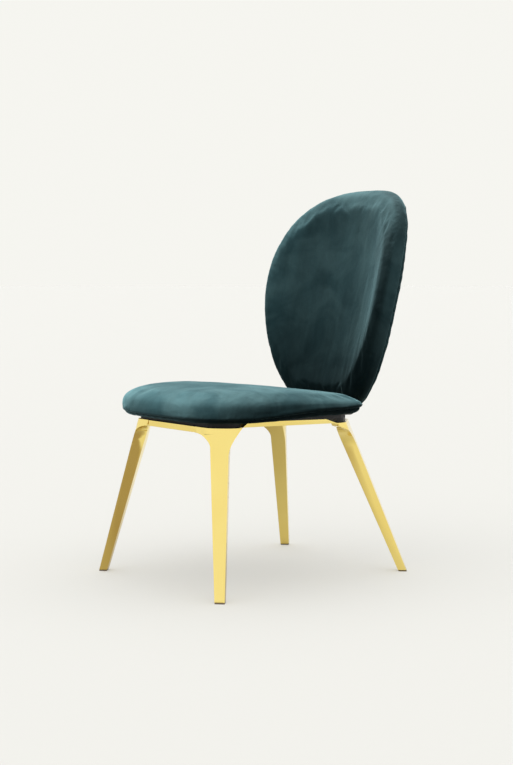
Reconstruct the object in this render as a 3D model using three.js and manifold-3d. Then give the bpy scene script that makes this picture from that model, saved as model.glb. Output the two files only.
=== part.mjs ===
// Upholstered dining chair: an egg-shaped back and a padded seat on a polished metal frame.
// Units are millimetres, +Z is up and the sitter faces -Y, so the sitter's left is +X.
import * as THREE from 'three';
import { mergeVertices } from 'three/addons/utils/BufferGeometryUtils.js';
import Module from 'manifold-3d';

const wasm = await Module();
wasm.setup();

// ---- Driving dimensions ----
const GAP = 0.3;                    // clearance between touching pieces

const FRONT = {                     // front legs and apron
  line: -247,                       // outer face of the apron
  footX: 237, footY: -285,          // middle of the foot
  faceX: 160, faceY: -228,          // middle of the leg's outer face, at its top
  top: 381,                         // top edge of legs and apron
  wing: 35, wingRise: 66, wingEdge: 1,
  widthTop: 44.5, widthFoot: 23, depthTop: 31.5, depthFoot: 19.5,
  blockReach: 95,                   // how far the black corner block runs along the apron
};
const REAR = {                      // rear legs and apron
  line: 204,
  footX: 227, footY: 287.5,
  faceX: 134, faceY: 186,
  top: 373,
  wing: 75, wingRise: 58, wingEdge: 8,
  widthTop: 41, widthFoot: 22, depthTop: 36, depthFoot: 20.5,
  blockReach: 60,
};
const SIDE_X = 184;                 // outer face of the side rails
const CORNER_RADIUS = 34;
const LEG = {
  wall: 2.5, hollow: 280,           // open from the foot up to the hollow's end
  footBand: 8, wingBand: 12,        // rows of faces that bound the plain shaft
};
const APRON = { height: 14, depth: 18 };
const FILLET = { length: 50, height: 30 };        // leg to apron: along the frame, down the leg
const RAIL = { height: 13, width: 26, mitreFront: 18, mitreRear: 42 };
const GLIDE = { height: 3, plug: 12 };
const BLOCK = { inset: 6, depth: 58 };            // black packing pieces under the seat board
const BATTEN_DEPTH = 20;

const DECK = { z: 394, y: -170, slope: 0.028 };   // top of the rails, where the board rests
const SEAT = {
  z: 399, slope: 0.008,                           // lower edge of the upholstery
  halfWidth: 238, front: -303, middle: -45, rear: 201,
  squareFront: 3.4, squareRear: 5.2,              // exponents of the plan's rounded rectangle
  board: 0.855, boardThick: 12, border: 12,
  belly: 19, crown: 65, crownY: -90, fall: 0.088,
};
const BACK = {
  tilt: THREE.MathUtils.degToRad(14),
  y: 206, z: 380,                   // foot of the back, on the middle of its front face
  height: 587, halfWidth: 232, taper: 0.1, roundness: 0.74,
  cut: 22,                          // height of the flat lower edge
  wrap: 0.0015,                     // forward curve of the sides, per millimetre squared
  pad: 40, board: 10, lip: 8, thick: 70,
};
const UPRIGHT = { x: 62, width: 30, thick: 5, start: 100, rise: 188, bend: 14, offset: 47.6 };
const COVER = { halfWidth: 150, front: -182, rear: 97, thick: 1 };
const SCREW = { radius: 2.5, head: 5.5, headHeight: 3 };

// ---- Materials ----
const finish = (color, roughness, metalness) =>
  new THREE.MeshStandardMaterial({ color, roughness, metalness });
const gold = finish(0xd9bd6a, 0.12, 1);
const black = finish(0x161616, 0.7, 0);
const velvet = finish(0x2f4a50, 0.9, 0);
const plywood = finish(0xb08a5a, 0.7, 0);
const nylon = finish(0x5a4630, 0.5, 0);
const zinc = finish(0x9a9a98, 0.35, 1);

const chair = new THREE.Group();
const { lerp, clamp, smoothstep } = THREE.MathUtils;

function add(name, geometry, material) {
  const mesh = new THREE.Mesh(geometry, material);
  mesh.name = name;
  chair.add(mesh);
}

// ---- Geometry helpers ----
function bare(geometry) {
  const copy = geometry.clone();
  copy.deleteAttribute('normal');
  copy.deleteAttribute('uv');
  return mergeVertices(copy, 1e-3);
}

// Turns the faces of a closed mesh outwards if its signed volume is negative.
function outwards(geometry) {
  const position = geometry.attributes.position;
  const index = geometry.index.array;
  const corner = (i) => new THREE.Vector3().fromBufferAttribute(position, index[i]);
  let volume = 0;
  for (let i = 0; i < index.length; i += 3) {
    volume += corner(i).dot(corner(i + 1).cross(corner(i + 2)));
  }
  if (volume < 0) {
    for (let i = 0; i < index.length; i += 3) {
      [index[i + 1], index[i + 2]] = [index[i + 2], index[i + 1]];
    }
  }
  return geometry;
}

// Moves every vertex with place(point).
function reshaped(geometry, place) {
  const moved = bare(geometry);
  const position = moved.attributes.position;
  const point = new THREE.Vector3();
  for (let i = 0; i < position.count; i += 1) {
    point.fromBufferAttribute(position, i);
    place(point);
    position.setXYZ(i, point.x, point.y, point.z);
  }
  return outwards(bare(moved));
}

function mirroredX(geometry) {
  return reshaped(geometry, (point) => { point.x = -point.x; });
}

function solid(geometry) {
  const merged = bare(geometry);
  const vertProperties = new Float32Array(merged.attributes.position.array);
  const triVerts = new Uint32Array(merged.index.array);
  return new wasm.Manifold(new wasm.Mesh({ numProp: 3, vertProperties, triVerts }));
}

function meshed(manifold) {
  const mesh = manifold.getMesh();
  const geometry = new THREE.BufferGeometry();
  geometry.setAttribute('position', new THREE.BufferAttribute(new Float32Array(mesh.vertProperties), 3));
  geometry.setIndex(new THREE.BufferAttribute(new Uint32Array(mesh.triVerts), 1));
  return geometry;
}

// Cuts a piece with other closed meshes.
function cut(geometry, ...cutters) {
  return meshed(cutters.reduce((body, cutter) => body.subtract(solid(cutter)), solid(geometry)));
}

// A solid of revolution whose circle is reshaped to an outline. The profile lists
// [share of the outline, height]; it starts and ends on the axis or closes on itself.
function outlined(profile, outline, place, segments = 56) {
  const points = profile.map(([share, height]) => new THREE.Vector2(share * 100, height));
  return reshaped(new THREE.LatheGeometry(points, segments), (point) => {
    const share = Math.hypot(point.x, point.z) / 100;
    const edge = outline(Math.atan2(point.x, point.z));
    point.copy(place(edge.x * share, edge.y * share, point.y, share));
  });
}

// ---- Levels ----
const deckAt = (y) => DECK.z - DECK.slope * (y - DECK.y);
const seatAt = (y) => SEAT.z - SEAT.slope * (y - DECK.y);

// ---- Frame plan: a rectangle with a flat face across each rounded corner ----
// Two paths leave the middle of the leg's face, one along the apron and one along the rail.
function cornerPaths(end) {
  const side = Math.sign(end.line);
  const diagonal = end.faceX + Math.abs(end.faceY);
  const apronX = diagonal - Math.abs(end.line);
  const railY = side * (diagonal - SIDE_X);
  const run = CORNER_RADIUS * Math.tan(Math.PI / 8);
  const slant = run * Math.SQRT1_2;
  const toApron = new THREE.Path();
  toApron.moveTo(end.faceX, end.faceY);
  toApron.lineTo(apronX + slant, end.line - side * slant);
  toApron.quadraticCurveTo(apronX, end.line, apronX - run, end.line);
  toApron.lineTo(0, end.line);
  const toRail = new THREE.Path();
  toRail.moveTo(end.faceX, end.faceY);
  toRail.lineTo(SIDE_X - slant, railY + side * slant);
  toRail.quadraticCurveTo(SIDE_X, railY, SIDE_X, railY - side * run);
  toRail.lineTo(SIDE_X, 0);
  return { side, toApron, toRail };
}

// A point of the frame at s from the leg's middle, towards the rail where s > 0,
// set inwards from the outer face by depth.
function framePoint(paths, s, depth) {
  const path = s < 0 ? paths.toApron : paths.toRail;
  const share = Math.min(Math.abs(s) / path.getLength(), 1);
  const at = path.getPointAt(share);
  const tangent = path.getTangentAt(share);
  const turn = (s < 0 ? paths.side : -paths.side) * depth;
  return new THREE.Vector2(at.x - turn * tangent.y, at.y + turn * tangent.x);
}

const ends = {
  front: { ...FRONT, paths: cornerPaths(FRONT) },
  rear: { ...REAR, paths: cornerPaths(REAR) },
};
const apronEnd = (end) => end.widthTop / 2 + FILLET.length;
const railEnd = (end) => end.widthTop / 2 + end.wing;

// ---- Legs: tapered, splayed and hollow, flared into the frame at the top ----
// A point of a leg: across from -1 (apron side) to 1 (rail side), inset in millimetres,
// inner 0 on the outer face and 1 on the inner face.
function legPoint(end, across, inner, z, inset, flared) {
  const rise = z / end.top;
  const half = lerp(end.widthFoot, end.widthTop, rise) / 2 - inset;
  const fillet = clamp((z - end.top + APRON.height) / FILLET.height + 1, 0, 1);
  const climb = clamp((z - end.top + end.wingEdge) / end.wingRise + 1, 0, 1);
  const apronReach = FILLET.length * (1 - Math.sqrt(1 - fillet * fillet));
  const railReach = end.wing * climb * climb;
  const arm = across < 0
    ? { reach: apronReach, most: FILLET.length, depth: APRON.depth }
    : { reach: railReach, most: end.wing, depth: RAIL.width };
  const reach = flared ? arm.reach : 0;
  const slim = Math.abs(across) * reach / arm.most;
  const depth = lerp(lerp(end.depthFoot, end.depthTop, rise), arm.depth, slim);
  const s = across * (half + reach);
  const into = lerp(inset, depth - inset, inner);
  const outX = Math.SQRT1_2;
  const outY = Math.SQRT1_2 * end.paths.side;
  const flat = new THREE.Vector2(end.faceX + outX * (s - into), end.faceY - outY * (s + into));
  const bend = flared ? smoothstep(z, end.top - 90, end.top - APRON.height) : 0;
  const plan = flat.lerp(framePoint(end.paths, s, into), bend);
  plan.x += (1 - rise) * (end.footX + outX * end.depthFoot / 2 - end.faceX);
  plan.y += (1 - rise) * (end.footY + outY * end.depthFoot / 2 - end.faceY);
  return new THREE.Vector3(plan.x, plan.y, z);
}

// A straight length of the leg's section, drawn in by inset.
function shaft(end, inset, low, high) {
  return reshaped(new THREE.BoxGeometry(2, 1, high - low), (point) => {
    const z = point.z + (low + high) / 2;
    point.copy(legPoint(end, point.x, 0.5 - point.y, z, inset, false));
  });
}

function legGeometry(end) {
  const foot = GLIDE.height + GAP;
  const start = end.top - end.wingEdge - end.wingRise;
  const underApron = end.top - APRON.height;
  const curved = 20;
  const levels = [foot, foot + LEG.footBand, start - LEG.wingBand, start];
  for (let i = 1; i <= curved; i += 1) {
    levels.push(lerp(start, underApron, Math.sin((i / curved) * Math.PI / 2)));
  }
  levels.push(end.top - end.wingEdge, end.top);
  const rows = levels.length - 1;
  const outer = reshaped(new THREE.BoxGeometry(2, 1, rows, 20, 1, rows), (point) => {
    const z = levels[Math.round(point.z + rows / 2)];
    point.copy(legPoint(end, point.x, 0.5 - point.y, z, 0, true));
  });
  return cut(outer, shaft(end, LEG.wall, foot - 1, LEG.hollow));
}

// Foot glide: a pad under the leg and a plug inside its open end.
function glideGeometry(end) {
  const pad = shaft(end, 0.5, 0, GLIDE.height);
  const plug = shaft(end, LEG.wall + GAP, GLIDE.height - 1, GLIDE.height + GLIDE.plug);
  return meshed(solid(pad).add(solid(plug)));
}

// ---- Aprons: flat bars that follow the frame between the legs ----
function apronGeometry(end) {
  const middle = end.paths.toApron.getLength();
  const bar = new THREE.BoxGeometry(2, 1, 1, 24, 1, 1);
  return reshaped(bar, (point) => {
    const s = lerp(middle, apronEnd(end) + GAP, Math.abs(point.x));
    const plan = framePoint(end.paths, -s, (0.5 - point.y) * APRON.depth);
    const z = end.top + (point.z - 0.5) * APRON.height;
    point.set(plan.x * Math.sign(point.x), plan.y, z);
  });
}

// ---- Side rails: flat bars with slanted ends, on top of the legs' wings ----
function railGeometry() {
  const front = framePoint(ends.front.paths, railEnd(ends.front), 0).y + GAP;
  const rear = framePoint(ends.rear.paths, railEnd(ends.rear), 0).y - GAP;
  const side = new THREE.Shape([
    new THREE.Vector2(front, 0),
    new THREE.Vector2(rear, 0),
    new THREE.Vector2(rear - RAIL.mitreRear, RAIL.height),
    new THREE.Vector2(front + RAIL.mitreFront, RAIL.height),
  ]);
  const bar = new THREE.ExtrudeGeometry(side, { depth: RAIL.width, bevelEnabled: false });
  return reshaped(bar, (point) => {
    point.set(SIDE_X - point.z, point.x, deckAt(point.x) - GAP - RAIL.height + point.y);
  });
}

// ---- Packing between the frame and the seat board ----
function cornerBlock(end) {
  const steps = 12;
  const outline = new THREE.Shape();
  const inner = framePoint(end.paths, 0, BLOCK.depth);
  outline.moveTo(inner.x, inner.y);
  for (let i = 0; i <= steps; i += 1) {
    const s = lerp(-end.blockReach, railEnd(end) - 2, i / steps);
    const plan = framePoint(end.paths, s, BLOCK.inset);
    outline.lineTo(plan.x, plan.y);
  }
  const plate = new THREE.ExtrudeGeometry(outline, { depth: 1, bevelEnabled: false });
  return reshaped(plate, (point) => {
    point.z = point.z > 0.5 ? deckAt(point.y) - GAP : end.top + GAP;
  });
}

function batten(end, headroom) {
  const halfLength = framePoint(end.paths, -end.blockReach, BLOCK.inset).x - GAP;
  const middle = Math.abs(end.line) - BLOCK.inset - BATTEN_DEPTH / 2;
  const bar = new THREE.BoxGeometry(2 * halfLength, BATTEN_DEPTH, 1);
  return reshaped(bar, (point) => {
    point.y += end.paths.side * middle;
    point.z = point.z > 0 ? deckAt(point.y) - headroom : end.top + GAP;
  });
}

// ---- Seat ----
function seatOutline(angle) {
  const across = Math.sin(angle);
  const ahead = -Math.cos(angle);
  const power = ahead < 0 ? SEAT.squareFront : SEAT.squareRear;
  const reach = ahead < 0 ? SEAT.middle - SEAT.front : SEAT.rear - SEAT.middle;
  const sum = Math.abs(across / SEAT.halfWidth) ** power + Math.abs(ahead / reach) ** power;
  const radius = sum ** (-1 / power);
  return new THREE.Vector2(across * radius, ahead * radius);
}

function seatBoard() {
  const top = SEAT.boardThick;
  const profile = [[0, 0], [SEAT.board, 0], [SEAT.board, top], [0, top]];
  return outlined(profile, seatOutline, (x, y, height) =>
    new THREE.Vector3(x, y + SEAT.middle, deckAt(y + SEAT.middle) + height));
}

// The upholstered border is the band of fabric round the board's edge.
function seatBorder() {
  const inner = SEAT.board + 0.006;
  const top = SEAT.border;
  const profile = [[inner, 0], [0.95, 0], [0.968, 4], [0.964, top], [inner, top], [inner, 0]];
  return outlined(profile, seatOutline, (x, y, height) =>
    new THREE.Vector3(x, y + SEAT.middle, seatAt(y + SEAT.middle) + height));
}

function seatCushion() {
  const bottom = SEAT.border + GAP;
  const { belly, crown } = SEAT;
  const profile = [
    [0, 0], [SEAT.board - 0.01, 0], [SEAT.board, bottom], [0.968, bottom], [1, belly],
    [0.985, lerp(belly, crown, 0.35)], [0.93, lerp(belly, crown, 0.62)],
    [0.82, lerp(belly, crown, 0.82)], [0.6, lerp(belly, crown, 0.95)], [0, crown],
  ];
  return outlined(profile, seatOutline, (x, y, height, share) => {
    const at = y + SEAT.middle;
    const rests = deckAt(at) + SEAT.boardThick + GAP;
    const lift = (height - belly) / (crown - belly);
    const fall = lift > 0 ? lift * SEAT.fall * Math.max(at - SEAT.crownY, 0) : 0;
    const z = share < SEAT.board - 0.005 && height < bottom ? rests : seatAt(at) + height - fall;
    return new THREE.Vector3(x, at, z);
  });
}

function dustCover() {
  const { halfWidth, front, rear, thick } = COVER;
  const sheet = new THREE.BoxGeometry(2 * halfWidth, rear - front, thick);
  return reshaped(sheet, (point) => {
    point.y += (front + rear) / 2;
    point.z += deckAt(point.y) - GAP - thick / 2;
  });
}

// ---- Back: an egg-shaped shell, curved in plan and leaning backwards ----
// (x, up, deep): across, up along the back and backwards from its front face.
function backPoint(x, up, deep) {
  const wrapped = deep - BACK.wrap * x * x;
  const y = BACK.y + up * Math.sin(BACK.tilt) + wrapped * Math.cos(BACK.tilt);
  const z = BACK.z + up * Math.cos(BACK.tilt) - wrapped * Math.sin(BACK.tilt);
  return new THREE.Vector3(x, y, z);
}

function backOutline(angle) {
  const across = Math.sin(angle);
  const half = BACK.height / 2;
  const width = BACK.halfWidth * (1 - BACK.taper * Math.cos(angle));
  const up = Math.max(-half * Math.cos(angle), BACK.cut - half);
  return new THREE.Vector2(width * Math.sign(across) * Math.abs(across) ** BACK.roundness, up);
}

const onBack = (x, up, deep) => backPoint(x, up + BACK.height / 2, deep);
const boardShare = 0.93;
const seam = BACK.pad + BACK.board + BACK.lip;

// Front pad: the padded face and its side band, hollowed at the rear for the board.
function backFrontPad(swell = 0) {
  const rim = 1 + swell / BACK.halfWidth;
  const profile = [
    [0, 5 - swell], [0.6, 4 - swell], [0.79, -swell], [0.89, 2 - swell], [0.955 * rim, 8 - swell],
    [0.99 * rim, 18], [rim, 30], [rim, seam - 12], [0.985 * rim, seam - 1], [0.965 * rim, seam],
    [boardShare + 0.012, seam], [boardShare + 0.01, BACK.pad], [0, BACK.pad],
  ];
  return outlined(profile, backOutline, onBack, 64);
}

function backBoard() {
  const near = BACK.pad + GAP;
  const far = near + BACK.board;
  return outlined([[0, near], [boardShare, near], [boardShare, far], [0, far]], backOutline, onBack);
}

function backRearPanel() {
  const near = BACK.pad + BACK.board + 2 * GAP;
  const edge = seam + GAP;
  const profile = [
    [0, near], [boardShare, near], [boardShare + 0.002, edge], [0.962, edge], [0.958, edge + 5],
    [0.9, BACK.thick - 2], [0.6, BACK.thick], [0, BACK.thick],
  ];
  return outlined(profile, backOutline, onBack, 64);
}

// ---- Uprights: bent flat bars that join the seat board to the back's board ----
function uprightSide(swell) {
  const { start, rise, thick, bend, offset } = UPRIGHT;
  const lean = new THREE.Vector2(Math.sin(BACK.tilt), Math.cos(BACK.tilt));
  const under = (y) => deckAt(y) - GAP - thick;
  const foot = backPoint(0, 0, offset);
  const corner = new THREE.Vector2(foot.y, under(foot.y));
  corner.x += (corner.y - foot.z) * Math.tan(BACK.tilt);
  const tip = new THREE.Vector2(foot.y, foot.z).addScaledVector(lean, rise);
  const out = new THREE.Vector2(lean.y, -lean.x).multiplyScalar(thick + swell);
  const into = new THREE.Vector2(lean.y, -lean.x).multiplyScalar(-swell);
  const side = new THREE.Shape();
  const lower = corner.clone().add(out);
  side.moveTo(start - swell, under(start) - swell);
  side.lineTo(lower.x - bend, under(lower.x) - swell);
  side.quadraticCurveTo(lower.x, lower.y - swell, lower.x + lean.x * bend, lower.y + lean.y * bend);
  side.lineTo(tip.x + out.x, tip.y + out.y);
  side.lineTo(tip.x + into.x, tip.y + into.y);
  const inner = corner.clone().addScaledVector(lean, thick + bend).add(into);
  side.lineTo(inner.x, inner.y);
  side.quadraticCurveTo(corner.x, corner.y + thick, corner.x - bend, under(corner.x) + thick + swell);
  side.lineTo(start - swell, under(start) + thick + swell);
  return side;
}

function uprightGeometry(swell = 0) {
  const width = UPRIGHT.width + 2 * swell;
  const options = { depth: width, bevelEnabled: false, curveSegments: 6 };
  return reshaped(new THREE.ExtrudeGeometry(uprightSide(swell), options), (point) => {
    point.set(UPRIGHT.x - width / 2 + point.z, point.x, point.y);
  });
}

// ---- Screws: at the underside of the head, with the way that the shank points ----
function turned(points, at, way) {
  const turn = new THREE.Quaternion().setFromUnitVectors(new THREE.Vector3(0, 1, 0), way);
  const profile = points.map(([radius, height]) => new THREE.Vector2(radius, height));
  return reshaped(new THREE.LatheGeometry(profile, 12), (point) => {
    point.applyQuaternion(turn).add(at);
  });
}

function screwGeometry({ at, way, length }) {
  const { radius, head, headHeight } = SCREW;
  return turned([
    [0, -headHeight], [head - 1, -headHeight], [head, 1 - headHeight], [head, 0],
    [radius, 0], [radius, length], [0, length],
  ], at, way);
}

function screwHole({ at, way, length }) {
  const radius = SCREW.radius + GAP;
  return turned([[0, -1], [radius, -1], [radius, length + GAP], [0, length + GAP]], at, way);
}

function headRoom({ at, way }) {
  const radius = SCREW.head + 1;
  const height = SCREW.headHeight + 1;
  return turned([[0, -height], [radius, -height], [radius, 1], [0, 1]], at, way);
}

const upwards = new THREE.Vector3(0, 0, 1);
const intoBack = new THREE.Vector3(0, -Math.cos(BACK.tilt), Math.sin(BACK.tilt));

const frameScrews = [ends.front, ends.rear].map((end) => {
  const plan = framePoint(end.paths, -8, end.depthTop + 12);
  const into = 9;                   // bite into the seat board
  const length = deckAt(plan.y) - end.top + into;
  return { at: new THREE.Vector3(plan.x, plan.y, end.top), way: upwards, length };
});
const seatScrews = [118, 160].map((y) => {
  const z = deckAt(y) - 3 * GAP - UPRIGHT.thick;
  return { at: new THREE.Vector3(UPRIGHT.x, y, z), way: upwards, length: 14 };
});
const backScrews = [98, 158].map((up) => {
  const deep = UPRIGHT.offset + UPRIGHT.thick + GAP;
  const at = backPoint(0, up, deep).setX(UPRIGHT.x);
  return { at, way: intoBack, length: 14 };
});

// ---- Assembly: pieces of the sitter's left, mirrored to the right ----
function both(name, geometry, material) {
  add(`${name}_left`, geometry, material);
  add(`${name}_right`, mirroredX(geometry), material);
}

const withMirror = (geometries) => geometries.concat(geometries.map(mirroredX));

for (const [place, end] of Object.entries(ends)) {
  both(`leg_${place}`, legGeometry(end), gold);
  both(`foot_glide_${place}`, glideGeometry(end), nylon);
  add(`apron_${place}`, apronGeometry(end), gold);
}
both('side_rail', railGeometry(), gold);

both('corner_block_front', cut(cornerBlock(ends.front), screwHole(frameScrews[0])), black);
both('corner_block_rear', cut(cornerBlock(ends.rear), screwHole(frameScrews[1])), black);
add('batten_front', batten(ends.front, GAP), black);
add('batten_rear', batten(ends.rear, UPRIGHT.thick + 2 * GAP), black);
both('screw_frame_front', screwGeometry(frameScrews[0]), zinc);
both('screw_frame_rear', screwGeometry(frameScrews[1]), zinc);

const boardHoles = [...frameScrews, ...seatScrews].map(screwHole);
add('seat_board', cut(seatBoard(), ...withMirror(boardHoles)), black);
add('dust_cover', dustCover(), black);
const backSpace = backFrontPad(1);
add('seat_border', cut(seatBorder(), backSpace), velvet);
add('seat_cushion', cut(seatCushion(), backSpace), velvet);

const uprightHoles = [...seatScrews, ...backScrews].map(screwHole);
both('back_upright', cut(uprightGeometry(), ...uprightHoles), black);
seatScrews.forEach((screw, i) => both(`screw_seat_${i + 1}`, screwGeometry(screw), zinc));
backScrews.forEach((screw, i) => both(`screw_back_${i + 1}`, screwGeometry(screw), zinc));

const channel = withMirror([uprightGeometry(1)]);
const backHoles = withMirror(backScrews.map(screwHole));
const backPockets = [...channel, ...backHoles, ...withMirror(backScrews.map(headRoom))];
add('back_pad_front', cut(backFrontPad(), ...channel), velvet);
add('back_board', cut(backBoard(), ...backHoles), plywood);
add('back_panel_rear', cut(backRearPanel(), ...backPockets), velvet);

// The origin is under the middle of the whole chair, on the floor.
const extent = new THREE.Box3().setFromObject(chair);
const middle = extent.getCenter(new THREE.Vector3());
chair.position.set(-middle.x, -middle.y, -extent.min.z);

export default chair;
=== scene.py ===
"""Velvet dining chair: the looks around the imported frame. Lengths are metres unless a name ends in _MM."""

import math

import bmesh
import bpy
import numpy as np
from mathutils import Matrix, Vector, noise
from mathutils.bvhtree import BVHTree

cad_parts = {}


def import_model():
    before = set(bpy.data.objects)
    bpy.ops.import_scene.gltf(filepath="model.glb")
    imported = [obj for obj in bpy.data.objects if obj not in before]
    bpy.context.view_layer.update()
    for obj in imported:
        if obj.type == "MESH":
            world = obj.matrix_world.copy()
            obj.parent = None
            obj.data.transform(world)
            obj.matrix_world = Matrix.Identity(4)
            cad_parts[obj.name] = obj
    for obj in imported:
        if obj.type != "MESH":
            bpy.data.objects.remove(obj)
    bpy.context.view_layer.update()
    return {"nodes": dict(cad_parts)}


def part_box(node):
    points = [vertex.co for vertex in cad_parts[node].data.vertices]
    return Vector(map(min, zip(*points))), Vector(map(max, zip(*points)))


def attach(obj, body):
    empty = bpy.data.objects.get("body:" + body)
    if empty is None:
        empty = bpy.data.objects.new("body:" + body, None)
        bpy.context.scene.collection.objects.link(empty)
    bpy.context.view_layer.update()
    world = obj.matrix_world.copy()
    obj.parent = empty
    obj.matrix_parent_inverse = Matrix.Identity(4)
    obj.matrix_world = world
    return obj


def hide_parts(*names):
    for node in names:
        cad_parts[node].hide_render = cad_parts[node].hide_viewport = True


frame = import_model()
MM = 0.001

# ---- Driving dimensions, in millimetres, the same as the part's ----
SEAT_LOW, SEAT_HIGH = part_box("seat_cushion")
SHIFT_Y_MM = SEAT_LOW.y / MM + 303       # how far the frame moved the part to centre it
HALF_WIDTH_MM = SEAT_HIGH.x / MM
SEAT = dict(z=399, slope=0.008, start=-170, middle=-45, front=-303, rear=201,
            square_front=3.4, square_rear=5.2, belly=19, crown=65, crown_y=-90, fall=0.088)
BACK = dict(tilt=math.radians(14), y=206, z=380, height=587, half_width=232, taper=0.1,
            roundness=0.74, cut=22, wrap=0.0015, seam=58, thick=70)

BORDER_SAG = 7                           # how far the cloth hangs down at the front of the seat
CUSHION_SAG = 15
BACK_RADIUS = 230                        # turns an angle round the back or the seat into a length
SEAT_RADIUS = 240
VOXEL = 5                                # the size of the faces before the cloth swells
CLOTH_FRAMES = 20

# Factors on the velvet's colour, written at each vertex: 1 is as dyed, less is darker. Most are painted
# light and shade.
# painted shade over the whole border band
BORDER_PAINTED_SHADE = 0.3
PANEL_SHADE = 0.9
UNDER_PAINTED_SHADE = 0.2                        # painted shade low on the cushion
BACK_FOOT_PAINTED_SHADE = 0.3                    # painted shade low on the back, darker towards its foot
# painted shade on the back's crease and shoulder at the sitter's left; painted light on the sitter's right
# of the back
CREASE_PAINTED_SHADE = 0.4
SHOULDER_PAINTED_SHADE = 0.4
FAR_SIDE_PAINTED_LIGHT = 0.5


# ---- Curves and grids ----
def between(value, low, high):
    """0 below low, 1 above high, smooth between."""
    t = np.clip((value - low) / (high - low), 0, 1)
    return t * t * (3 - 2 * t)


def smooth_curve(points, steps):
    """Points of a Catmull-Rom curve through the given ones, steps to each stretch."""
    p = np.array([points[0]] + list(points) + [points[-1]], float)
    t = np.linspace(0, 1, steps, endpoint=False)[:, None]
    out = []
    for a, b, c, d in zip(p, p[1:], p[2:], p[3:]):
        out.append(0.5 * (2 * b + (c - a) * t + (2 * a - 5 * b + 4 * c - d) * t ** 2
                          + (3 * b - a - 3 * c + d) * t ** 3))
    return np.vstack(out + [p[-1:]])


def ringed(name, profile, outline, place, segments, closed=False):
    """A surface of rings: each profile row is (share of the outline, height).
    It has a point at both ends, or with closed its last ring joins its first."""
    angles = np.arange(segments) * 2 * math.pi / segments
    edge = outline(angles)
    rows = profile if closed else profile[1:-1]
    vertices = np.vstack([place(edge[:, 0] * s, edge[:, 1] * s, np.full(segments, h)) for s, h in rows])
    mesh = bpy.data.meshes.new(name)
    count = len(rows)
    faces = []
    for i in range(count if closed else count - 1):
        j = (i + 1) % count
        for k in range(segments):
            m = (k + 1) % segments
            faces.append((i * segments + k, i * segments + m, j * segments + m, j * segments + k))
    if not closed:
        zero = np.zeros(1)
        first = place(zero, zero, np.full(1, profile[0][1]))
        last = place(zero, zero, np.full(1, profile[-1][1]))
        vertices = np.vstack([vertices, first, last])
        top = count * segments
        low = (count - 1) * segments
        for k in range(segments):
            m = (k + 1) % segments
            faces.append((top, m, k))
            faces.append((top + 1, low + k, low + m))
    mesh.from_pydata((vertices * MM).tolist(), [], faces)
    mesh.validate()
    return placed(name, mesh)


def placed(name, mesh):
    piece = bpy.data.objects.new(name, mesh)
    bpy.context.scene.collection.objects.link(piece)
    piece.data.shade_smooth()
    return piece


def outwards(piece):
    """Turns the faces outwards."""
    work = bmesh.new()
    work.from_mesh(piece.data)
    bmesh.ops.recalc_face_normals(work, faces=work.faces)
    work.to_mesh(piece.data)
    work.free()


def applied(piece):
    """Replaces the piece's mesh by what its modifiers make of it."""
    graph = bpy.context.evaluated_depsgraph_get()
    mesh = bpy.data.meshes.new_from_object(piece.evaluated_get(graph))
    piece.modifiers.clear()
    old = piece.data
    piece.data = mesh
    bpy.data.meshes.remove(old)
    return piece


def coordinates(piece):
    co = np.empty(len(piece.data.vertices) * 3)
    piece.data.vertices.foreach_get("co", co)
    return co.reshape(-1, 3)


def set_coordinates(piece, co):
    piece.data.vertices.foreach_set("co", co.ravel())
    piece.data.update()


def normals(piece):
    co = np.empty(len(piece.data.vertices) * 3)
    piece.data.vertices.foreach_get("normal", co)
    return co.reshape(-1, 3)


# ---- Seat and back forms, the same as the frame's ----
def seat_outline(angle):
    across, ahead = np.sin(angle), -np.cos(angle)
    front = ahead < 0
    power = np.where(front, SEAT["square_front"], SEAT["square_rear"])
    reach = np.where(front, SEAT["middle"] - SEAT["front"], SEAT["rear"] - SEAT["middle"])
    total = np.abs(across / HALF_WIDTH_MM) ** power + np.abs(ahead / reach) ** power
    radius = total ** (-1 / power)
    return np.stack([across * radius, ahead * radius], 1)


def frontness(at):
    """1 over the front of the seat, 0 over its rear half."""
    return between(-at, -60, 200)


def on_seat(x, y, height, hang=BORDER_SAG):
    """A point of the seat, height over the lower edge of its upholstery; it hangs down at the front."""
    at = y + SEAT["middle"]
    level = SEAT["z"] - SEAT["slope"] * (at - SEAT["start"])
    sag = hang * frontness(at) * (1 - between(height, 4, 34))
    level = level - sag
    lift = np.clip((height - SEAT["belly"]) / (SEAT["crown"] - SEAT["belly"]), 0, 1)
    fall = lift * SEAT["fall"] * np.maximum(at - SEAT["crown_y"], 0)
    return np.stack([x, at + SHIFT_Y_MM, level + height - fall], 1)


def seat_place(co):
    """Across, forwards and up of points on the seat: the height is over its upholstery's lower edge."""
    x, y, z = (co / MM).T
    at = y - SHIFT_Y_MM
    return x, at - SEAT["middle"], z - SEAT["z"] + SEAT["slope"] * (at - SEAT["start"])


def back_outline(angle):
    across = np.sin(angle)
    half = BACK["height"] / 2
    width = BACK["half_width"] * (1 - BACK["taper"] * np.cos(angle))
    up = np.maximum(-half * np.cos(angle), BACK["cut"] - half)
    return np.stack([width * np.sign(across) * np.abs(across) ** BACK["roundness"], up], 1)


def on_back(x, up, deep):
    """A point of the back: across, up from its middle, and backwards from its front face."""
    rise = up + BACK["height"] / 2
    depth = deep - BACK["wrap"] * x * x
    sin, cos = math.sin(BACK["tilt"]), math.cos(BACK["tilt"])
    y = BACK["y"] + SHIFT_Y_MM + rise * sin + depth * cos
    return np.stack([x, y, BACK["z"] + rise * cos - depth * sin], 1)


def back_place(co):
    """The reverse of on_back, for coordinates in metres."""
    x, y, z = (co / MM).T
    y = y - BACK["y"] - SHIFT_Y_MM
    z = z - BACK["z"]
    sin, cos = math.sin(BACK["tilt"]), math.cos(BACK["tilt"])
    return x, y * sin + z * cos - BACK["height"] / 2, y * cos - z * sin + BACK["wrap"] * x * x


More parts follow.
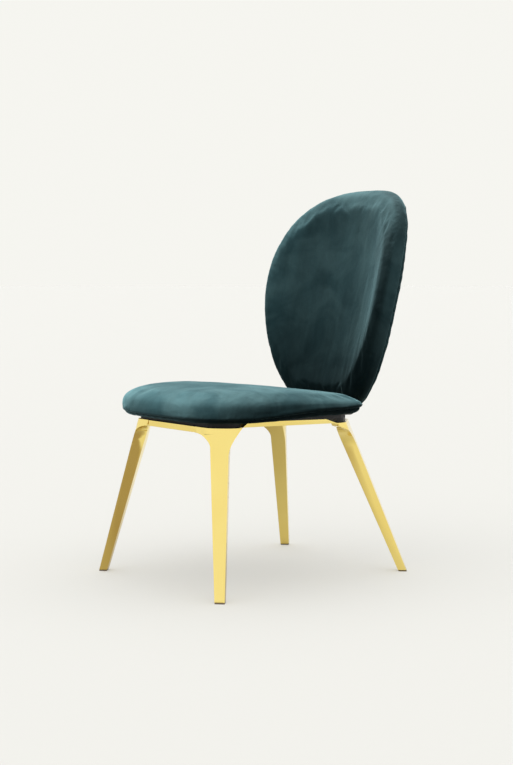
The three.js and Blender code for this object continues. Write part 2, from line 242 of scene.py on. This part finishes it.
# ---- Cloth ----
def remeshed(piece, voxel):
    """Even faces all over, of the voxel's size."""
    voxels = piece.modifiers.new("voxels", "REMESH")
    voxels.mode = "VOXEL"
    voxels.voxel_size = voxel * MM
    applied(piece)


def inflated(piece, pressure, cap, held):
    """The piece swells like stuffed cloth, by at most cap, and stays where held(coordinates) is 1."""
    start = coordinates(piece)
    group = piece.vertex_groups.new(name="held")
    for index, weight in enumerate(held(start)):
        group.add([index], float(weight), "REPLACE")
    cloth = piece.modifiers.new("cloth", "CLOTH")
    settings = cloth.settings
    settings.use_pressure = True
    settings.uniform_pressure_force = pressure
    settings.vertex_group_mass = "held"
    settings.pin_stiffness = 1
    settings.effector_weights.gravity = 0
    settings.quality = 4
    scene = bpy.context.scene
    for number in range(1, CLOTH_FRAMES + 1):
        scene.frame_set(number)
    applied(piece)
    move = coordinates(piece) - start
    length = np.linalg.norm(move, axis=1, keepdims=True)
    move *= np.minimum(1, cap * MM / np.maximum(length, 1e-9))
    set_coordinates(piece, start + move)
    piece.vertex_groups.clear()
    scene.frame_set(1)


def subdivided(piece):
    rounds = piece.modifiers.new("rounds", "SUBSURF")
    rounds.levels = rounds.render_levels = 1
    applied(piece)
    piece.data.shade_smooth()


def ripples(u, v, seed):
    """Smooth noise from -1 to 1 at each pair of places."""
    return np.array([noise.noise((a, b, seed)) for a, b in zip(u, v)])


def pushed(piece, amount):
    """Moves every vertex along its normal, by amount in millimetres."""
    set_coordinates(piece, coordinates(piece) + normals(piece) * amount[:, None] * MM)


def paint_light_and_shade(piece, painted_shading):
    """Writes painted light and shade at every vertex, as a factor on the velvet's colour."""
    painted_light = piece.data.attributes.new("painted_light", "FLOAT", "POINT")
    painted_light.data.foreach_set("value", painted_shading.astype(np.float32))


def round_back(x, up):
    """The place along the back's rim, in millimetres."""
    return np.arctan2(x, up) * BACK_RADIUS


def round_seat(x, y):
    """The place along the seat's rim, in millimetres."""
    return np.arctan2(x, -y) * SEAT_RADIUS


def back_share(x, up):
    """0 in the middle of the back, about 1 at its rim."""
    return np.hypot(x / BACK["half_width"], up / BACK["height"] * 2)


# ---- Upholstery ----
def back_front_pad():
    """Dished in the middle, with a roll round it and a side band that turns in at the rear seam."""
    seam = BACK["seam"]
    rim = [(0, 6), (0.35, 5.5), (0.6, 4), (0.75, 1.2), (0.82, 0.3), (0.88, 2), (0.93, 6.5), (0.965, 13),
           (0.99, 22), (1, 33), (1, 44), (0.992, seam - 5), (0.975, seam - 0.7), (0.958, seam),
           (0.944, seam - 0.5), (0.94, 50), (0.93, 40.8), (0.8, 40), (0, 40)]
    piece = ringed("back_pad_front_velvet", smooth_curve(rim, 4), back_outline, on_back, 200)
    outwards(piece)
    remeshed(piece, VOXEL)
    inflated(piece, 3, 4, lambda co: between(back_place(co)[2], 30, 45))
    subdivided(piece)
    x, up, deep = back_place(coordinates(piece))
    around = round_back(x, up)
    share = back_share(x, up)
    face = 1 - between(deep, 8, 30)
    rim_band = between(share, 0.68, 0.9) * (1 - between(deep, 30, 44))
    seam_band = between(deep, 34, 56)
    push = face * 1.3 * ripples(x / 34, up / 230, 3.1)
    push += face * 0.5 * ripples(x / 12, up / 95, 7.7) * between(-up, -200, 160)
    push += rim_band * 0.5 * ripples(around / 17, deep / 40, 1.3)
    push += seam_band * 1.0 * ripples(around / 12, deep / 60, 5.9)
    pushed(piece, push)
    # Painted light and shade on the pile: darker towards the foot, painted shade on the crease and shoulder
    # at the sitter's left, painted light on the sitter's right.
    painted_shading = BACK_FOOT_PAINTED_SHADE + (1 - BACK_FOOT_PAINTED_SHADE) * between(up, -260, 40)
    crease = between(share, 0.62, 0.78) * (1 - between(deep, 8, 26)) * between(x, 0, 110)
    crease *= 1 - between(up, 110, 200)
    shoulder = between(share, 0.8, 0.95) * between(deep, 12, 26) * between(x, 0, 90) * between(up, 90, 190)
    far_side = between(-x, 110, 205)
    painted_shading *= 1 - CREASE_PAINTED_SHADE * crease
    painted_shading *= 1 - SHOULDER_PAINTED_SHADE * shoulder
    painted_shading *= 1 + FAR_SIDE_PAINTED_LIGHT * far_side
    paint_light_and_shade(piece, painted_shading)
    return piece


def back_rear_panel():
    """A thin padded sheet behind the seam."""
    seam = BACK["seam"]
    thick = BACK["thick"]
    rim = [(0, 52), (0.9, 52), (0.93, 52.5), (0.936, seam - 1), (0.952, 58.8), (0.966, seam + 2),
           (0.962, thick - 5.5), (0.93, thick - 2.5), (0.8, thick - 0.5), (0, thick)]
    piece = ringed("back_panel_rear_velvet", smooth_curve(rim, 5), back_outline, on_back, 260)
    outwards(piece)
    remeshed(piece, VOXEL)
    subdivided(piece)
    x, up, deep = back_place(coordinates(piece))
    around = round_back(x, up)
    share = back_share(x, up)
    edge = between(share, 0.74, 0.9)
    push = edge * 2.2 * ripples(around / 19, share * 2, 2.4)
    push += 0.8 * ripples(x / 60, up / 160, 8.2) * between(deep, 60, 66)
    pushed(piece, push)
    paint_light_and_shade(piece, np.full(len(x), PANEL_SHADE))
    return piece


def seat_cushion():
    """A dome over a rounded side, which rests on the border."""
    def hanging(x, y, height):
        return on_seat(x, y, height, CUSHION_SAG)

    def over_the_edge(co):
        _, y, height = seat_place(co)
        return height + CUSHION_SAG * frontness(y + SEAT["middle"])

    crown = SEAT["crown"]
    rim = [(0, 13), (0.8, 13), (0.92, 12.6), (0.962, 12.6), (0.984, 14), (0.998, 18), (1, 24), (0.99, 34),
           (0.96, 43.5), (0.905, 51), (0.82, 57.2), (0.7, crown - 4), (0.5, crown - 1.5), (0.25, 64.8),
           (0, crown)]
    piece = ringed("seat_cushion_velvet", smooth_curve(rim, 4), seat_outline, hanging, 220)
    outwards(piece)
    remeshed(piece, VOXEL)
    inflated(piece, 3, 3.5, lambda co: 1 - between(over_the_edge(co), 11, 26))
    subdivided(piece)
    x, y, height = seat_place(coordinates(piece))
    low = over_the_edge(coordinates(piece))
    around = round_seat(x, y)
    side = between(height, 14, 20) * (1 - between(height, 34, 52))
    top = between(height, 40, 60)
    push = side * 1.1 * ripples(around / 26, height / 30, 4.4)
    push += top * 1.0 * ripples(x / 70, y / 70, 6.1)
    pushed(piece, push)
    # Painted light and shade on the pile: a painted highlight along the top of the rim, strongest at the
    # sitter's right and weaker at the left, and painted shade low on the cushion.
    rim_top = between(low, 22, 40) * (1 - between(height, 56, 64))
    right_painted_highlight = 1.5 * between(-x, 90, 220)
    left_painted_shade = 0.25 * between(x, 120, 220)
    painted_shading = 1 + rim_top * (0.2 + right_painted_highlight - left_painted_shade)
    paint_light_and_shade(piece, painted_shading * (UNDER_PAINTED_SHADE + (1 - UNDER_PAINTED_SHADE) * between(low, 12, 30)))
    return piece


def seat_border():
    """A ring of velvet round the seat board, open below."""
    rim = [(0.865, 0.5), (0.92, 0.2), (0.943, 1.5), (0.96, 5), (0.97, 9), (0.965, 12.2), (0.92, 12.3),
           (0.865, 12.3), (0.865, 6)]
    curve = smooth_curve(rim + rim[:1], 4)[:-1]
    piece = ringed("seat_border_velvet", curve, seat_outline, on_seat, 260, closed=True)
    outwards(piece)
    x, y, height = seat_place(coordinates(piece))
    around = round_seat(x, y)
    outer = between(np.hypot(x, y), 190, 215)
    pushed(piece, 0.9 * outer * ripples(around / 16, height / 20, 9.5))
    # The whole border band painted darker, as painted shade.
    paint_light_and_shade(piece, np.full(len(x), BORDER_PAINTED_SHADE))
    return piece


def dust_cover():
    """A sheet of cloth under the seat board, pulled at its fixing points and slack between."""
    corner_low, corner_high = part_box("dust_cover")
    wide = corner_high.x - corner_low.x
    long = corner_high.y - corner_low.y
    thick = 0.5 * MM
    points = 6
    mesh = bpy.data.meshes.new("dust_cover_cloth")
    work = bmesh.new()
    bmesh.ops.create_grid(work, x_segments=72, y_segments=68, size=0.5)
    work.to_mesh(mesh)
    work.free()
    piece = placed("dust_cover_cloth", mesh)
    u, v, _ = coordinates(piece).T
    rim = 1 - 2 * np.maximum(np.abs(u), np.abs(v))
    slack = 1 - (1 - between(rim, 0, 0.5)) ** 2
    pulls = np.abs(np.sin(points * math.pi * u) * np.sin(points * math.pi * v)) * (1 - between(rim, 0, 0.25))
    drop = (3 * slack + 0.8 * pulls + 0.4 * slack * ripples(u * 9, v * 9, 2.2)) * MM
    top = corner_high.z - thick - (v + 0.5) * (corner_high.z - corner_low.z - MM)
    y = (corner_low.y + corner_high.y) / 2 + v * long
    set_coordinates(piece, np.stack([u * wide, y, top - drop], 1))
    body = piece.modifiers.new("body", "SOLIDIFY")
    body.thickness = thick
    applied(piece)
    piece.data.shade_smooth()
    return piece


# ---- Materials ----
def material(name, color, roughness, metallic=0.0):
    """A node material; returns it with its tree and its Principled shader."""
    made = bpy.data.materials.new(name)
    made.use_nodes = True
    shader = made.node_tree.nodes["Principled BSDF"]
    shader.inputs["Base Color"].default_value = (*color, 1)
    shader.inputs["Roughness"].default_value = roughness
    shader.inputs["Metallic"].default_value = metallic
    return made, made.node_tree, shader


def grain(tree, scale, detail=3, stretch=(1, 1, 1), distortion=0.0):
    """Noise over the object's own coordinates; scale is in cycles per metre."""
    place = tree.nodes.new("ShaderNodeTexCoord")
    mapping = tree.nodes.new("ShaderNodeMapping")
    mapping.inputs["Scale"].default_value = stretch
    texture = tree.nodes.new("ShaderNodeTexNoise")
    texture.inputs["Scale"].default_value = scale
    texture.inputs["Detail"].default_value = detail
    texture.inputs["Distortion"].default_value = distortion
    tree.links.new(place.outputs["Object"], mapping.inputs["Vector"])
    tree.links.new(mapping.outputs["Vector"], texture.inputs["Vector"])
    return texture.outputs["Fac"]


def ramp(tree, value, *stops):
    """Colours between stops, each (place, red, green, blue)."""
    made = tree.nodes.new("ShaderNodeValToRGB")
    elements = made.color_ramp.elements
    while len(elements) < len(stops):
        elements.new(0.5)
    for element, (place, *color) in zip(elements, stops):
        element.position = place
        element.color = (*color, 1)
    tree.links.new(value, made.inputs["Fac"])
    return made.outputs["Color"]


def mixed(tree, kind, share, a, b):
    """Two colours put together; share is a number."""
    made = tree.nodes.new("ShaderNodeMix")
    made.data_type = "RGBA"
    made.blend_type = kind
    made.inputs["Factor"].default_value = share
    tree.links.new(a, made.inputs["A"])
    tree.links.new(b, made.inputs["B"])
    return made.outputs["Result"]


def bumped(tree, shader, value, depth_mm, below=None):
    made = tree.nodes.new("ShaderNodeBump")
    made.inputs["Distance"].default_value = depth_mm * MM
    made.inputs["Strength"].default_value = 1
    tree.links.new(value, made.inputs["Height"])
    if below is not None:
        tree.links.new(below, made.inputs["Normal"])
    tree.links.new(made.outputs["Normal"], shader.inputs["Normal"])
    return made.outputs["Normal"]


def velvet():
    """Short pile with sheen; its colour is multiplied by the painted light and shade that each piece writes
    on its vertices.
    """
    made, tree, shader = material("velvet", (0.02, 0.05, 0.058), 0.85)
    shader.inputs["Sheen Weight"].default_value = 0.4
    shader.inputs["Sheen Roughness"].default_value = 0.3
    shader.inputs["Sheen Tint"].default_value = (0.36, 0.62, 0.66, 1)
    shader.inputs["Specular IOR Level"].default_value = 0.05
    patches = ramp(tree, grain(tree, 11, 4, distortion=0.8),
                   (0.36, 0.028, 0.066, 0.073), (0.62, 0.052, 0.105, 0.112))
    strokes = ramp(tree, grain(tree, 26, 3, (1, 1, 0.22), 0.5), (0.3, 0.72, 0.72, 0.72), (0.7, 1, 1, 1))
    pile = ramp(tree, grain(tree, 900, 2), (0.3, 0.7, 0.7, 0.7), (0.7, 1, 1, 1))
    color = mixed(tree, "MULTIPLY", 0.8, patches, strokes)
    color = mixed(tree, "MULTIPLY", 0.7, color, pile)
    # painted light and shade, read from each piece's vertices
    painted_light = tree.nodes.new("ShaderNodeAttribute")
    painted_light.attribute_name = "painted_light"
    lit = mixed(tree, "MULTIPLY", 1, color, painted_light.outputs["Color"])
    tree.links.new(lit, shader.inputs["Base Color"])
    soft = bumped(tree, shader, grain(tree, 60, 3, (1, 1, 0.4)), 0.6)
    bumped(tree, shader, grain(tree, 1500, 2), 0.12, soft)
    return made


def gold():
    made, tree, shader = material("polished_gold", (0.87, 0.69, 0.22), 0.09, 1.0)
    rough = ramp(tree, grain(tree, 22, 4), (0.3, 0.06, 0.06, 0.06), (0.75, 0.14, 0.14, 0.14))
    tree.links.new(rough, shader.inputs["Roughness"])
    tint = ramp(tree, grain(tree, 7, 2), (0.3, 0.86, 0.67, 0.2), (0.7, 0.89, 0.72, 0.24))
    tree.links.new(tint, shader.inputs["Base Color"])
    bumped(tree, shader, grain(tree, 14, 1, (1, 1, 0.5)), 0.3)
    return made


def rough_black(name, depth_mm, scale, roughness=0.65, stretch=(1, 1, 1)):
    made, tree, shader = material(name, (0.011, 0.011, 0.012), roughness)
    texture = grain(tree, scale, 3, stretch)
    color = ramp(tree, texture, (0.3, 0.006, 0.006, 0.006), (0.75, 0.02, 0.02, 0.021))
    tree.links.new(color, shader.inputs["Base Color"])
    bumped(tree, shader, texture, depth_mm)
    return made


def plywood():
    made, tree, shader = material("plywood", (0.4, 0.26, 0.13), 0.6)
    texture = grain(tree, 14, 5, (1, 7, 26), 0.6)
    color = ramp(tree, texture,
                 (0.3, 0.23, 0.13, 0.06), (0.55, 0.42, 0.27, 0.14), (0.75, 0.5, 0.35, 0.2))
    tree.links.new(color, shader.inputs["Base Color"])
    bumped(tree, shader, texture, 0.1)
    return made


def nylon():
    made, tree, shader = material("nylon", (0.1, 0.07, 0.035), 0.5)
    texture = grain(tree, 350, 2)
    color = ramp(tree, texture, (0.3, 0.08, 0.055, 0.03), (0.7, 0.13, 0.09, 0.05))
    tree.links.new(color, shader.inputs["Base Color"])
    bumped(tree, shader, texture, 0.05)
    return made


def zinc():
    made, tree, shader = material("zinc", (0.55, 0.55, 0.53), 0.35, 1.0)
    texture = grain(tree, 500, 3)
    rough = ramp(tree, texture, (0.3, 0.28, 0.28, 0.28), (0.7, 0.45, 0.45, 0.45))
    tree.links.new(rough, shader.inputs["Roughness"])
    color = ramp(tree, texture, (0.3, 0.45, 0.45, 0.42), (0.7, 0.62, 0.62, 0.6))
    tree.links.new(color, shader.inputs["Base Color"])
    return made


# ---- The frame's metal, wood and fittings ----
EDGE_RADIUS_MM = 0.8
SHARP = math.radians(35)                 # edges that turn by more than this are rounded over
FLAT = math.radians(8)                   # triangles that turn by less than this are joined into faces
SKEW = math.radians(60)
WELD_REACH_MM = 1                        # a face nearer than this to a neighbour is welded to it


def give(name, finish):
    node = frame["nodes"][name]
    node.data.materials.clear()
    node.data.materials.append(finish)


def surface_of(names):
    """The faces of these nodes, to look up how near they are."""
    points, faces = [], []
    for name in names:
        mesh = frame["nodes"][name].data
        start = len(points)
        points += [tuple(vertex.co) for vertex in mesh.vertices]
        faces += [tuple(start + index for index in face.vertices) for face in mesh.polygons]
    return BVHTree.FromPolygons(points, faces)


def polished(name, finish, neighbours):
    """The node's shape with its edges rounded over, for a mirror finish, but not where it is welded on."""
    source = frame["nodes"][name]
    welded_to = surface_of(neighbours)
    piece = placed(name + "_polished", source.data.copy())
    work = bmesh.new()
    work.from_mesh(piece.data)
    bmesh.ops.remove_doubles(work, verts=work.verts, dist=1e-6)
    bmesh.ops.join_triangles(work, faces=work.faces, angle_face_threshold=FLAT, angle_shape_threshold=SKEW)
    weight = work.edges.layers.float.new("bevel_weight_edge")
    welded = {face for face in work.faces
              if welded_to.find_nearest(face.calc_center_median(), WELD_REACH_MM * MM)[0] is not None}
    for edge in work.edges:
        sharp = edge.calc_face_angle(0) > SHARP
        edge[weight] = float(sharp and not welded.intersection(edge.link_faces))
    work.to_mesh(piece.data)
    work.free()
    piece.data.materials.clear()
    piece.data.materials.append(finish)
    bevel = piece.modifiers.new("edges", "BEVEL")
    bevel.width = EDGE_RADIUS_MM * MM
    bevel.segments = 3
    bevel.limit_method = "WEIGHT"
    bevel.harden_normals = True
    applied(piece)
    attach(piece, "root")
    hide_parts(name)
    return piece


gold_metal = gold()
metal_nodes = [name for name in sorted(frame["nodes"]) if name.startswith(("leg_", "apron_", "side_rail_"))]
for name in metal_nodes:
    polished(name, gold_metal, [other for other in metal_nodes if other != name])

black_wood = rough_black("black_wood", 0.15, 90, stretch=(1, 6, 6))
finishes = {
    "foot_glide": nylon(),
    "corner_block": black_wood,
    "batten": black_wood,
    "seat_board": black_wood,
    "back_board": plywood(),
    "back_upright": rough_black("powder_coat", 0.06, 900, 0.4),
    "screw_": zinc(),
}
for name in frame["nodes"]:
    for start, finish in finishes.items():
        if name.startswith(start):
            give(name, finish)

velvet_cloth = velvet()
upholstery = (
    (seat_cushion(), "seat_cushion", 0.8),
    (seat_border(), "seat_border", 0.8),
    (back_front_pad(), "back_pad_front", 0.8),
    (back_rear_panel(), "back_panel_rear", 0.6),
)
for piece, node, fill in upholstery:
    piece.data.materials.append(velvet_cloth)
    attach(piece, "root")
    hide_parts(node)

cover = dust_cover()
cover.data.materials.append(rough_black("dust_cloth", 0.2, 1400, 0.9))
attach(cover, "root")
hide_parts("dust_cover")


# ---- Floor, light and camera ----
PAPER = (0.92, 0.915, 0.87)              # the backdrop's colour
FLOOR_COLOR = (0.545, 0.541, 0.513)
DIM_COLOR = (0.03, 0.03, 0.03)           # the floor as it lights what stands on it
BRIGHT_COLOR = (0.59, 0.585, 0.555)      # the floor as reflections see it
CARD_COLOR = (0.28, 0.235, 0.18)         # a matt card on the floor, seen only in reflections
CARD = dict(place=(0.73, -1.47, 0), turn=math.radians(-51.5), size=(1.5, 0.43, 1))
FLOOR_RADIUS = 60

CAMERA_PLACE_MM = (2853.6, -2271.0 + SHIFT_Y_MM, 742.6)
CAMERA_TURN = math.radians(51.39)        # from straight ahead of the chair towards the sitter's left
CAMERA_DROP = math.radians(4.36)         # how far it looks down
PICTURE_HEIGHT = 0.51                    # of the distance to what it shows


def by_ray(tree, kind, seen, other):
    """One shader for rays of this kind, and another for the rest."""
    path = tree.nodes.new("ShaderNodeLightPath")
    mix = tree.nodes.new("ShaderNodeMixShader")
    tree.links.new(path.outputs[kind], mix.inputs["Fac"])
    tree.links.new(other, mix.inputs[1])
    tree.links.new(seen, mix.inputs[2])
    return mix.outputs["Shader"]


def floor():
    """A pale sheet. It throws almost no light up at the seat's underside, and reflections see a warm grey
    card lying in front of the chair."""
    mesh = bpy.data.meshes.new("floor")
    work = bmesh.new()
    bmesh.ops.create_circle(work, cap_ends=True, radius=FLOOR_RADIUS, segments=64)
    work.to_mesh(mesh)
    work.free()
    piece = placed("floor", mesh)
    made, tree, shader = material("floor_paper", FLOOR_COLOR, 0.9)
    dim = tree.nodes.new("ShaderNodeBsdfDiffuse")
    dim.inputs["Color"].default_value = (*DIM_COLOR, 1)
    card = tree.nodes.new("ShaderNodeBsdfDiffuse")
    place = tree.nodes.new("ShaderNodeTexCoord")
    mapping = tree.nodes.new("ShaderNodeMapping")
    mapping.vector_type = "TEXTURE"
    mapping.inputs["Location"].default_value = CARD["place"]
    mapping.inputs["Rotation"].default_value = (0, 0, CARD["turn"])
    mapping.inputs["Scale"].default_value = CARD["size"]
    apart = tree.nodes.new("ShaderNodeVectorMath")
    apart.operation = "LENGTH"
    tree.links.new(place.outputs["Object"], mapping.inputs["Vector"])
    tree.links.new(mapping.outputs["Vector"], apart.inputs[0])
    halved = tree.nodes.new("ShaderNodeMath")
    halved.operation = "MULTIPLY"
    halved.inputs[1].default_value = 0.5
    tree.links.new(apart.outputs["Value"], halved.inputs[0])
    shades = ramp(tree, halved.outputs["Value"], (0.36, *CARD_COLOR), (0.85, *BRIGHT_COLOR))
    tree.links.new(shades, card.inputs["Color"])
    surface = by_ray(tree, "Is Glossy Ray", card.outputs["BSDF"], shader.outputs["BSDF"])
    surface = by_ray(tree, "Is Diffuse Ray", dim.outputs["BSDF"], surface)
    tree.links.new(surface, tree.nodes["Material Output"].inputs["Surface"])
    mesh.materials.append(made)
    return piece


def sky(tree, *stops):
    """Light by height: each stop is (height from 0 below to 1 above, brightness)."""
    place = tree.nodes.new("ShaderNodeTexCoord")
    split = tree.nodes.new("ShaderNodeSeparateXYZ")
    half = tree.nodes.new("ShaderNodeMath")
    half.operation = "MULTIPLY_ADD"
    half.inputs[1].default_value = 0.5
    half.inputs[2].default_value = 0.5
    tree.links.new(place.outputs["Generated"], split.inputs["Vector"])
    tree.links.new(split.outputs["Z"], half.inputs[0])
    color = ramp(tree, half.outputs["Value"], *[(h, v / 2, v / 2, v / 2) for h, v in stops])
    back = tree.nodes.new("ShaderNodeBackground")
    back.inputs["Strength"].default_value = 2
    tree.links.new(color, back.inputs["Color"])
    return back.outputs["Background"]


def world():
    made = bpy.data.worlds.new("studio")
    bpy.context.scene.world = made
    made.use_nodes = True
    tree = made.node_tree
    seen = tree.nodes["Background"]
    seen.inputs["Color"].default_value = (*PAPER, 1)
    soft = sky(tree, (0.48, 0.03), (0.56, 0.1), (0.7, 0.45), (1, 0.9))
    glossy = sky(tree, (0.45, 0.9), (0.53, 1.0), (0.62, 1.07), (0.85, 1.05), (1, 0.8))
    lights = by_ray(tree, "Is Glossy Ray", glossy, soft)
    surface = by_ray(tree, "Is Camera Ray", seen.outputs["Background"], lights)
    tree.links.new(surface, tree.nodes["World Output"].inputs["Surface"])


def lamp(name, data, strength, receivers, place=(0, 0, 0), towards=(0, 0, -1)):
    """A light that only lights the receivers."""
    data.energy = strength
    made = bpy.data.objects.new(name, data)
    made.location = place
    made.rotation_euler = Vector(towards).to_track_quat("-Z", "Y").to_euler()
    bpy.context.scene.collection.objects.link(made)
    lit = bpy.data.collections.new(name + "_lights")
    for piece in receivers:
        lit.objects.link(piece)
    made.light_linking.receiver_collection = lit
    return made


def sun(name, strength, spread, towards, receivers):
    """A wide soft light from far away."""
    data = bpy.data.lights.new(name, "SUN")
    data.angle = math.radians(spread)
    return lamp(name, data, strength, receivers, towards=towards)


def soft_box(name, strength, size, place, target, receivers):
    """A square area light that faces the target."""
    data = bpy.data.lights.new(name, "AREA")
    data.size = size
    return lamp(name, data, strength, receivers, place, Vector(target) - Vector(place))


def camera():
    data = bpy.data.cameras.new("camera")
    data.sensor_width = 36
    data.lens = data.sensor_width / PICTURE_HEIGHT
    data.clip_end = 200
    eye = bpy.data.objects.new("camera", data)
    eye.location = Vector(CAMERA_PLACE_MM) * MM
    level = math.cos(CAMERA_DROP)
    looks = Vector((-math.sin(CAMERA_TURN) * level, math.cos(CAMERA_TURN) * level, -math.sin(CAMERA_DROP)))
    eye.rotation_euler = looks.to_track_quat("-Z", "Y").to_euler()
    bpy.context.scene.collection.objects.link(eye)
    bpy.context.scene.camera = eye


paper = floor()
world()
chair = [piece for piece in bpy.data.objects
         if piece.type == "MESH" and piece != paper and not piece.name.endswith("_polished")]
back = [piece for piece in chair if piece.name.startswith("back_")]
seat = [piece for piece in chair if piece not in back]
sun("key", strength=6.0, spread=35, towards=(0.3, -0.1, -0.95), receivers=seat)
sun("crest", strength=4.2, spread=40, towards=(0.2, 0.8, -0.55), receivers=seat)
soft_box("top", strength=26, size=0.6, place=(-0.35, 0.3, 1.7), target=(0, 0.25, 0.75), receivers=back)
sun("rim", strength=1.2, spread=50, towards=(-0.75, -0.55, -0.35), receivers=back)
wash = sun("wash", strength=3.0, spread=110, towards=(0, 0, -1), receivers=[paper])
wash.data.use_shadow = False
camera()
bpy.context.scene.view_settings.view_transform = "Standard"
